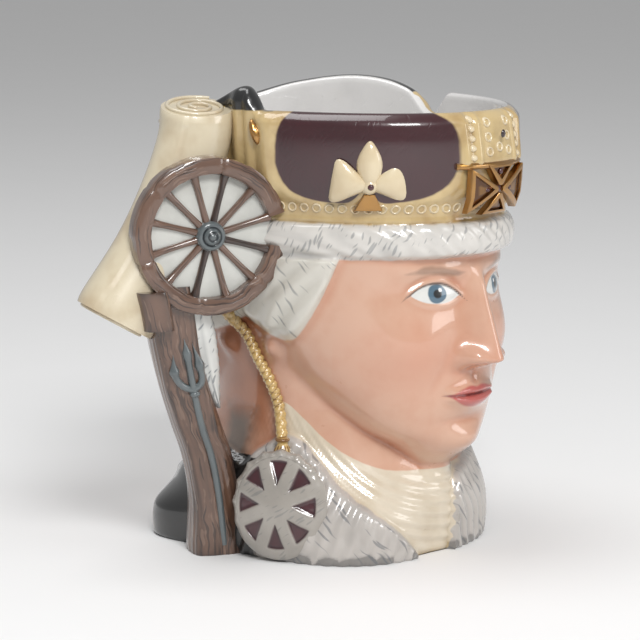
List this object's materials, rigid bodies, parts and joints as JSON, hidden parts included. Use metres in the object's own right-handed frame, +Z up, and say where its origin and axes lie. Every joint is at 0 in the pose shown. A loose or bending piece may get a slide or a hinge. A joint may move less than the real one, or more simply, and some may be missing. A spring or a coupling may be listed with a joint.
{
  "type": "character jug",
  "caption": "Glazed earthenware jug shaped as a crowned head back to back with a head in a cocked hat, with a wheel, scroll and post handle.",
  "frame": {"origin": "on the jug's upright axis, in the plane of its flat underside", "axes": "+Z up, the crowned face looks along -Y, the hatted face along +Y, the handle stands out on -X"},
  "size_m": [0.177, 0.1677, 0.1825],
  "materials": {
    "glazed_earthenware": "hand-painted underglaze colours under a clear gloss glaze"
  },
  "bodies": {
    "root": {"jug": "glazed_earthenware"}
  },
  "joints": []
}
